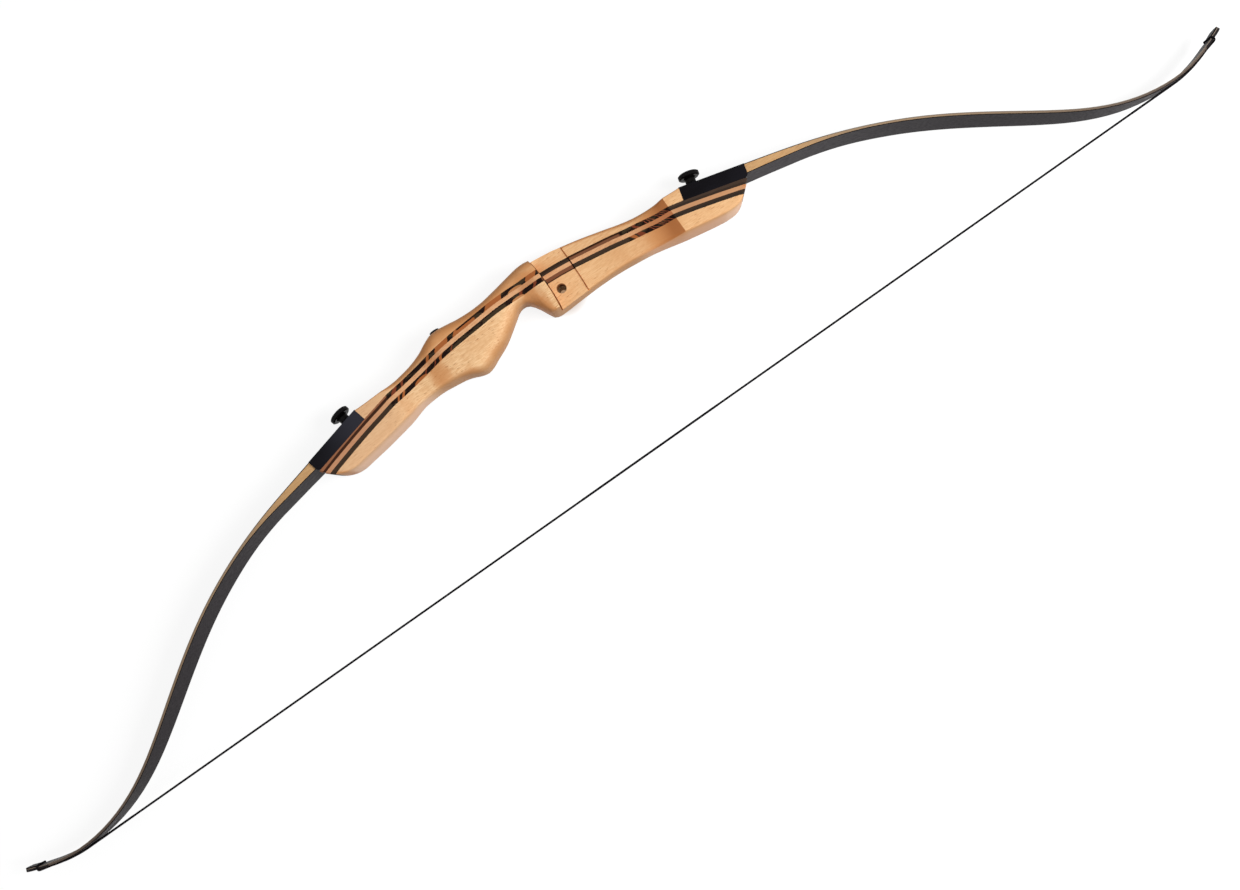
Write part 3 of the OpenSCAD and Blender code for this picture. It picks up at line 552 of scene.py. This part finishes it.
def limb_wood():
    """Wood core of the limbs, whose thin edge is stained along the limb and black at the tips."""
    shader = Shader("limb_wood", specular=WOOD_SPECULAR)
    colour, tone = grain_colour(shader, pale=screen(212, 170, 120), streak=screen(194, 150, 102),
                                fleck=screen(140, 98, 62), fleck_amount=0.4)
    far = shader.maths("ABSOLUTE", shader.spot()["X"])
    colour = shader.tinted(colour, screen(140, 122, 102), far, *CORE_GREYS, 0, CORE_GREY_AMOUNT)
    colour = shader.tinted(colour, screen(80, 70, 65), far, *CORE_DARKENS, 0, CORE_DARK_AMOUNT)
    colour = shader.tinted(colour, screen(22, 18, 21), far, CORE_BLACK, CORE_BLACK + CORE_BLACK_SOFT)
    shader.colour(colour)
    shader.finish(tone, *CORE_ROUGHNESS, CORE_RELIEF)
    return shader.material


GLASS_SPECULAR = 0.02
GLASS_ROUGHNESS = (0.34, 0.44)
GLASS_RELIEF = 0.01
GLASS_FIBRES = (8, 600, 600)
GLASS_RANGE = (0.35, 0.7)
# The face gives way to the sawn edge while the surface leans towards the bow's side by these amounts
EDGE_LEAN = (0.5, 0.8)


def glass_sheet(name, face, fibre, edge, far_edge):
    """Glass-fibre sheet: its broad face is dark, and its sawn edge changes where the core greys."""
    shader = Shader(name, specular=GLASS_SPECULAR)
    fibres = shader.noise(GLASS_FIBRES, detail=3)
    weave = shader.tinted(face, fibre, fibres, *GLASS_RANGE)
    sideways = shader.maths("ABSOLUTE", shader.normal()["Z"])
    far = shader.maths("ABSOLUTE", shader.spot()["X"])
    edge = shader.tinted(edge, far_edge, far, *CORE_GREYS)
    shader.colour(shader.tinted(weave, edge, sideways, *EDGE_LEAN))
    shader.finish(fibres, *GLASS_ROUGHNESS, GLASS_RELIEF)
    return shader.material


# Painted sheen: the lower pocket gets paler towards this stretch of the bow
SHEEN_STRETCH = stretch(-222, -100)
SHEEN_SOFT = 70 * MM
PLASTIC_SPECKLE = (900, 900, 900)
PLASTIC_RANGE = (0.35, 0.68)
PLASTIC_RELIEF = 0.02
PLASTIC_SWING = 0.05
SPECKLE_SHARE = 0.4


def black_plastic(name, colour, wear_and_shade, roughness, specular, cloud=35, pale=None):
    """Black finish with clouds of wear. Their waves a metre can be set, and a tone for a painted sheen over
    the pale stretch.
    """
    shader = Shader(name, specular=specular)
    speckle = shader.noise(PLASTIC_SPECKLE)
    clouds = shader.noise((cloud, cloud * 2, cloud * 2), offset=(4, 4, 4))
    tone = shader.blend(clouds, speckle, SPECKLE_SHARE)
    shade = shader.tinted(colour, wear_and_shade, tone, *PLASTIC_RANGE)
    # Painted sheen: paler over this stretch
    if pale:
        along = shader.spot()["X"]
        shade = shader.mix(shader.between(along, *SHEEN_STRETCH, SHEEN_SOFT), shade, pale)
    shader.colour(shade)
    shader.finish(speckle, roughness - PLASTIC_SWING, roughness + PLASTIC_SWING, PLASTIC_RELIEF)
    return shader.material


METAL_RINGS = (400, 400, 2500)
METAL_RANGE = (0.35, 0.7)
METAL_RELIEF = 0.01
# How much smoother and rougher than its usual roughness the metal gets
METAL_SMOOTHER = 0.06
METAL_ROUGHER = 0.08


def turned_metal(name, colour, wear_and_shade, roughness):
    shader = Shader(name, metallic=1.0)
    rings = shader.noise(METAL_RINGS)
    shader.colour(shader.tinted(colour, wear_and_shade, rings, *METAL_RANGE))
    shader.finish(rings, roughness - METAL_SMOOTHER, roughness + METAL_ROUGHER, METAL_RELIEF)
    return shader.material


THREAD_FUZZ = (300, 2500, 2500)
THREAD_RANGE = (0.35, 0.75)
THREAD_RELIEF = 0.03
THREAD_ROUGHNESS = 0.6
THREAD_SPECULAR = 0.03


def waxed_thread(name, colour, sheen):
    shader = Shader(name, roughness=THREAD_ROUGHNESS, specular=THREAD_SPECULAR)
    fuzz = shader.noise(THREAD_FUZZ, detail=3)
    shader.colour(shader.tinted(colour, sheen, fuzz, *THREAD_RANGE))
    shader.bump(fuzz, THREAD_RELIEF)
    return shader.material


# Meshes of the frame are joined and shaded smooth by modifiers, with edges sharper than this kept crisp
SHARP_ANGLE = math.radians(28)
WELD_DISTANCE = 0.01 * MM
# The ramp above the window meets the upper end block in a crease that is blunter than that
CREASE_PLACE = row_point(206, 0).x
CREASE_REACH = 0.5 * MM
CREASE_ANGLE = math.radians(8)


class MeshNodes(Tree):
    """A geometry node group with short calls for its nodes."""

    def __init__(self, name):
        self.group = bpy.data.node_groups.new(name, "GeometryNodeTree")
        super().__init__(self.group)
        for way in ("INPUT", "OUTPUT"):
            self.group.interface.new_socket("Geometry", in_out=way, socket_type="NodeSocketGeometry")

    def add(self, kind, **inputs):
        node = self.nodes.new(kind)
        for name, value in inputs.items():
            self.put(node.inputs[name.replace("_", " ")], value)
        return node

    def compare(self, operation, first, second):
        node = self.add("FunctionNodeCompare", A=first, B=second)
        node.operation = operation
        return node

    def but_not(self, first, second):
        """Whether the first holds and the second doesn't."""
        node = self.nodes.new("FunctionNodeBooleanMath")
        node.operation = "NIMPLY"
        self.put(node.inputs[0], first)
        self.put(node.inputs[1], second)
        return node.outputs[0]


def smoothing_group():
    """Joins the mesh and shades it smooth, apart from sharp edges and the crease of the ramp."""
    nodes = MeshNodes("smooth_by_angle")
    start = nodes.add("NodeGroupInput").outputs["Geometry"]
    weld = nodes.add("GeometryNodeMergeByDistance", Geometry=start, Distance=WELD_DISTANCE)
    faces = nodes.add("GeometryNodeSetShadeSmooth", Geometry=weld.outputs["Geometry"])
    edges = nodes.add("GeometryNodeSetShadeSmooth", Geometry=faces.outputs["Geometry"])
    edges.domain = "EDGE"
    bend = nodes.add("GeometryNodeInputMeshEdgeAngle").outputs["Unsigned Angle"]
    place = nodes.add("GeometryNodeInputPosition").outputs["Position"]
    gentle = nodes.compare("LESS_THAN", bend, SHARP_ANGLE).outputs["Result"]
    blunt = nodes.compare("LESS_THAN", bend, CREASE_ANGLE).outputs["Result"]
    near = nodes.compare("EQUAL", nodes.split(place)["X"], CREASE_PLACE)
    nodes.put(near.inputs["Epsilon"], CREASE_REACH)
    creased = nodes.but_not(near.outputs["Result"], blunt)
    nodes.put(edges.inputs["Shade Smooth"], nodes.but_not(gentle, creased))
    nodes.add("NodeGroupOutput", Geometry=edges.outputs["Geometry"])
    return nodes.group


def dress(node, material, smoothing):
    """Gives a node of the frame its finish."""
    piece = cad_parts[node]
    piece.data.materials.clear()
    piece.data.materials.append(material)
    modifier = piece.modifiers.new("smooth", "NODES")
    modifier.node_group = smoothing


def node_finishes():
    """The material of every node of the frame that the string doesn't replace."""
    wood = beech()
    core = limb_wood()
    # Both pockets share this finish; its pale tone is a painted sheen on the lower pocket
    pocket = black_plastic("pocket_black", screen(8, 6, 8), wear_and_shade=screen(22, 21, 26), roughness=0.36,
                           specular=0.04, cloud=16, pale=screen(47, 47, 55))
    knob = black_plastic("knob_black", screen(10, 8, 9), wear_and_shade=screen(18, 15, 16), roughness=0.26,
                         specular=0.06)
    overlay = black_plastic("tip_black", screen(9, 7, 9), wear_and_shade=screen(16, 14, 17), roughness=0.36,
                            specular=0.02)
    black_metal = black_plastic("black_metal", screen(16, 15, 17), wear_and_shade=screen(34, 33, 36), roughness=0.32,
                                specular=0.15)
    steel = turned_metal("steel", screen(170, 170, 172), wear_and_shade=screen(140, 141, 145), roughness=0.3)
    brass = turned_metal("brass", screen(140, 112, 84), wear_and_shade=screen(116, 88, 62), roughness=0.5)
    edge = screen(24, 18, 16)
    back = glass_sheet("back_glass", face=screen(60, 57, 58), fibre=screen(46, 43, 45), edge=edge,
                       far_edge=screen(122, 110, 98))
    # Painted light and shade: both limbs have one belly glass, painted darker on the lower limb and lighter
    # on the upper one
    bellies = {
        "lower": glass_sheet("lower_belly_glass_painted_shade", face=screen(46, 41, 44), fibre=screen(36, 32, 35),
                             edge=edge, far_edge=edge),
        "upper": glass_sheet("upper_belly_glass_painted_light", face=screen(66, 62, 65), fibre=screen(54, 50, 53),
                             edge=edge, far_edge=edge),
    }
    finishes = {
        "riser_back_block": wood, "riser_belly_block": wood, "riser_centre_strip": centre_wood(),
        "riser_back_stripe": back_stripe(), "riser_belly_stripe": belly_stripe(), "plunger_bushing": brass,
        "stabilizer_bushing": black_metal, "sight_bushings": brass, "pocket_screws": black_metal,
        "limb_alignment_pins": steel,
    }
    for end in ("lower", "upper"):
        finishes[end + "_limb_insert"] = brass
        finishes[end + "_limb_pocket"] = pocket
        finishes[end + "_limb_back_glass"] = back
        finishes[end + "_limb_core"] = core
        finishes[end + "_limb_belly_glass"] = bellies[end]
        finishes[end + "_tip_overlay"] = overlay
        finishes[end + "_bolt_washer"] = black_metal
        finishes[end + "_limb_bolt"] = steel
        finishes[end + "_bolt_knob"] = knob
    return finishes


def dress_frame():
    smoothing = smoothing_group()
    for node, material in node_finishes().items():
        dress(node, material, smoothing)


# Sizes of the string in millimetres. The lay is the length in which its strands turn once
STRING_RADIUS = 1.25
SERVING_RADIUS = 1.37
LOOP_RADIUS = 1.05
STRANDS = 8
STRAND_LAY = 52
# How deep the valleys between the strands are, as a part of the bundle's radius
STRAND_VALLEY = 0.1
THREAD_PITCH = 0.8
THREAD_DEPTH = 0.12
STRING_SIDES = 32
LOOP_SIDES = 24
SERVING_SIDES = 16
# Routes in bow coordinates. The string runs from the lower tip to the upper one
LOWER_TRACK = [(-806.5, 6.5), (-801.4, 5.0), (-796.2, 3.7), (-790.9, 2.5), (-785.6, 1.4), (-780.3, 0.5),
               (-774.9, -0.2), (-769.5, -0.8), (-764.1, -1.1), (-758.6, -1.2)]
UPPER_TRACK = [(761.5, -0.3), (767.8, -0.2), (774.1, 0.2), (780.5, 0.9), (786.7, 1.9), (792.9, 3.1),
               (799.0, 4.6), (805.1, 6.2), (811.1, 8.1), (817.0, 10.0)]
# Half of each loop, from inside the string round one side of the tip to the middle of its back
LOWER_LOOP = [(-804.6, 5.9, 0.1), (-808.1, 6.7, 1.3), (-811.5, 7.7, 4), (-814.4, 8.6, 7),
              (-816.3, 9.7, 8.5), (-816.7, 12.6, 8.5), (-815.9, 14.1, 8.3), (-815.0, 15.2, 7.2),
              (-815.0, 15.3, 5.2), (-815.0, 15.3, 0)]
UPPER_LOOP = [(815.1, 9.4, 0.1), (818.5, 10.4, 1.3), (821.9, 11.5, 4), (824.8, 12.5, 7),
              (826.6, 13.7, 8.5), (826.9, 16.6, 8.5), (826.0, 18.1, 8.3), (825.0, 19.1, 7.2),
              (825.0, 19.2, 5.2), (825.0, 19.2, 0)]
# Each serving follows the string from end to end of its winding
SERVING_TRACKS = {
    "centre": [(-67.8, -0.79), (122.2, -0.68)],
    "lower_end": LOWER_TRACK[3:] + [(-696.2, -1.15)],
    "upper_end": [(704.47, -0.34)] + UPPER_TRACK[:7],
}
# The longest gap between two points of a route, and then the distance between the rings of each tube
TRACK_GAP = 6 * MM
TRACK_STEP = 1.6 * MM
LOOP_STEP = 0.8 * MM
THREAD_STEP = THREAD_PITCH / 4 * MM


def smooth_path(points, step):
    """Points along a smooth curve through the given points, about a step apart."""
    padded = [points[0] * 2 - points[1]] + points + [points[-1] * 2 - points[-2]]
    path = []
    for before, start, end, after in zip(padded, padded[1:], padded[2:], padded[3:]):
        count = max(1, round((end - start).length / step))
        slope = end - before
        bend = 2 * before - 5 * start + 4 * end - after
        twist = 3 * start - before - 3 * end + after
        for index in range(count):
            share = index / count
            path.append(0.5 * (2 * start + slope * share + bend * share * share + twist * share ** 3))
    path.append(points[-1])
    return path


def add_tube(build, path, sides, radius):
    """A tube along a path, whose radius depends on the distance along it and the angle round it."""
    upwards = Vector((0, 0, 1))
    side = (path[1] - path[0]).cross(upwards).normalized()
    distance = 0
    rings = []
    for index, point in enumerate(path):
        behind = path[max(index - 1, 0)]
        ahead = path[min(index + 1, len(path) - 1)]
        direction = (ahead - behind).normalized()
        side = (side - direction * side.dot(direction)).normalized()
        across = direction.cross(side)
        distance += (point - behind).length
        ring = []
        for corner in range(sides):
            angle = math.tau * corner / sides
            reach = radius(distance / MM, angle) * MM
            ring.append(build.verts.new(point + reach * (math.cos(angle) * side + math.sin(angle) * across)))
        rings.append(ring)
    for low, high in zip(rings, rings[1:]):
        for corner in range(sides):
            following = (corner + 1) % sides
            build.faces.new((low[corner], low[following], high[following], high[corner]))
    build.faces.new(list(reversed(rings[0])))
    build.faces.new(rings[-1])


def make_tubes(name, tubes, material, slot, *nodes):
    """One piece from several tubes, each a path, its number of sides and its radius. Their end caps,
    which have more than four corners, are shaded flat."""
    mesh = bpy.data.meshes.new(name)
    build = bmesh.new()
    for path, sides, radius in tubes:
        add_tube(build, path, sides, radius)
    bmesh.ops.recalc_face_normals(build, faces=build.faces)
    for face in build.faces:
        face.smooth = len(face.verts) == 4
    build.to_mesh(mesh)
    build.free()
    mesh.materials.append(material)
    piece = bpy.data.objects.new(name, mesh)
    bpy.context.scene.collection.objects.link(piece)
    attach(piece, "bow")
    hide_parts(*nodes)


def strand_bundle(outer):
    """Radius of a bundle of strands that turns slowly along the string."""
    def radius(distance, angle):
        phase = STRANDS / 2 * (angle - math.tau * distance / STRAND_LAY)
        return outer * (1 - STRAND_VALLEY + STRAND_VALLEY * abs(math.cos(phase)))
    return radius


def wound_thread(outer):
    """Radius of a thread wound closely round the string."""
    def radius(distance, angle):
        turns = distance / THREAD_PITCH - angle / math.tau
        return outer - THREAD_DEPTH * (1 - abs(math.sin(math.pi * turns)))
    return radius


def loop_path(half):
    """The whole loop from one half of it."""
    there = [row_point(*spot) for spot in half]
    back = [row_point(u, v, -w) for u, v, w in reversed(half[:-1])]
    return smooth_path(there + back, LOOP_STEP)


def track_points(track):
    """The points of a route, with more of them where they lie far apart, so that its curve is smooth."""
    points = [row_point(*track[0])]
    for u, v in track[1:]:
        start = points[-1]
        spot = row_point(u, v)
        count = math.ceil((spot - start).length / TRACK_GAP)
        points += [start.lerp(spot, index / count) for index in range(1, count + 1)]
    return points


def make_string():
    strands = waxed_thread("string_thread", screen(13, 11, 13), sheen=screen(28, 25, 28))
    thread = waxed_thread("serving_thread", screen(14, 12, 14), sheen=screen(31, 28, 32))
    bundle = strand_bundle(STRING_RADIUS)
    loop = strand_bundle(LOOP_RADIUS)
    route = smooth_path(track_points(LOWER_TRACK + UPPER_TRACK), TRACK_STEP)
    tubes = [(route, STRING_SIDES, bundle)]
    tubes += [(loop_path(half), LOOP_SIDES, loop) for half in (LOWER_LOOP, UPPER_LOOP)]
    make_tubes("string_strands", tubes, strands, "string", "bowstring")
    winding = wound_thread(SERVING_RADIUS)
    for name, track in SERVING_TRACKS.items():
        tube = (smooth_path(track_points(track), THREAD_STEP), SERVING_SIDES, winding)
        make_tubes(name + "_serving_thread", [tube], thread, "serving", name + "_serving")


# Lamps, in metres and watts
KEY_SPOT = (1.5, -1.1, 1.7)
KEY_SIZE = 1.2
KEY_POWER = 55
FILL_SPOT = (-0.6, 0.3, 2.6)
FILL_SIZE = 3.0
FILL_POWER = 12
# How much light the surroundings give, and how brightly the floor glows where it is seen
WORLD_LEVEL = 0.3
FLOOR_GLOW = 0.85
FLOOR_GREY = (0.22, 0.22, 0.22, 1)
FLOOR_ROUGHNESS = 0.9
FLOOR_SIZE = 60
FLOOR_DROP = 0.5 * MM
# Painted shade: the floor's glow is dimmed to brown below the plunger hole, through which it is seen in the
# shade of the bow
SHADE_REACH = (12 * MM, 30 * MM)
SHADE_TINT = screen(176, 140, 108)


def add_lamp(name, spot, size, power):
    """A square lamp that shines on the middle of the frame."""
    data = bpy.data.lights.new(name, "AREA")
    data.shape = "SQUARE"
    data.size = size
    data.energy = power
    lamp = bpy.data.objects.new(name, data)
    bpy.context.scene.collection.objects.link(lamp)
    lamp.location = spot
    lamp.rotation_euler = Vector(spot).to_track_quat("Z", "Y").to_euler()


def seen_level(tree, hidden, seen):
    """A level for rays that see something directly, in glass or in a mirror, and another for light."""
    rays = tree.nodes.new("ShaderNodeLightPath").outputs
    glossy = tree.maths("MAXIMUM", rays["Is Camera Ray"], rays["Is Glossy Ray"])
    level = tree.maths("MAXIMUM", glossy, rays["Is Transmission Ray"])
    return tree.spread(level, 0, 1, hidden, seen, kind="LINEAR")


def make_world():
    world = bpy.data.worlds.new("studio")
    bpy.context.scene.world = world
    world.use_nodes = True
    tree = Tree(world.node_tree)
    background = tree.nodes["Background"]
    background.inputs["Color"].default_value = WHITE
    tree.put(background.inputs["Strength"], seen_level(tree, WORLD_LEVEL, 1))


def floor_white():
    """Glows white where it is seen, with a painted brown shade below the plunger hole, and is grey to the
    light.
    """
    shader = Shader("floor_white", roughness=FLOOR_ROUGHNESS, specular=0)
    shader.colour(FLOOR_GREY)
    distance = shader.nodes.new("ShaderNodeVectorMath")
    distance.operation = "DISTANCE"
    shader.put(distance.inputs[0], shader.place)
    shader.put(distance.inputs[1], (PLUNGER_HOLE.x, PLUNGER_HOLE.y, 0))
    far = shader.spread(distance.outputs["Value"], *SHADE_REACH, kind="LINEAR")
    # Painted shade: brown glow below the plunger hole
    shader.put(shader.surface.inputs["Emission Color"], shader.mix(far, SHADE_TINT, WHITE))
    shader.put(shader.surface.inputs["Emission Strength"], seen_level(shader, 0, FLOOR_GLOW))
    return shader.material


def make_floor():
    mesh = bpy.data.meshes.new("floor")
    half = FLOOR_SIZE / 2
    corners = [(-half, -half, 0), (half, -half, 0), (half, half, 0), (-half, half, 0)]
    mesh.from_pydata(corners, [], [(0, 1, 2, 3)])
    mesh.materials.append(floor_white())
    floor = bpy.data.objects.new("floor", mesh)
    bpy.context.scene.collection.objects.link(floor)
    floor.location.z = -FLOOR_DROP


def make_studio():
    bpy.context.scene.view_settings.view_transform = "Standard"
    make_world()
    make_floor()
    add_lamp("key", KEY_SPOT, KEY_SIZE, KEY_POWER)
    add_lamp("fill", FILL_SPOT, FILL_SIZE, FILL_POWER)


make_camera()
dress_frame()
make_string()
make_studio()
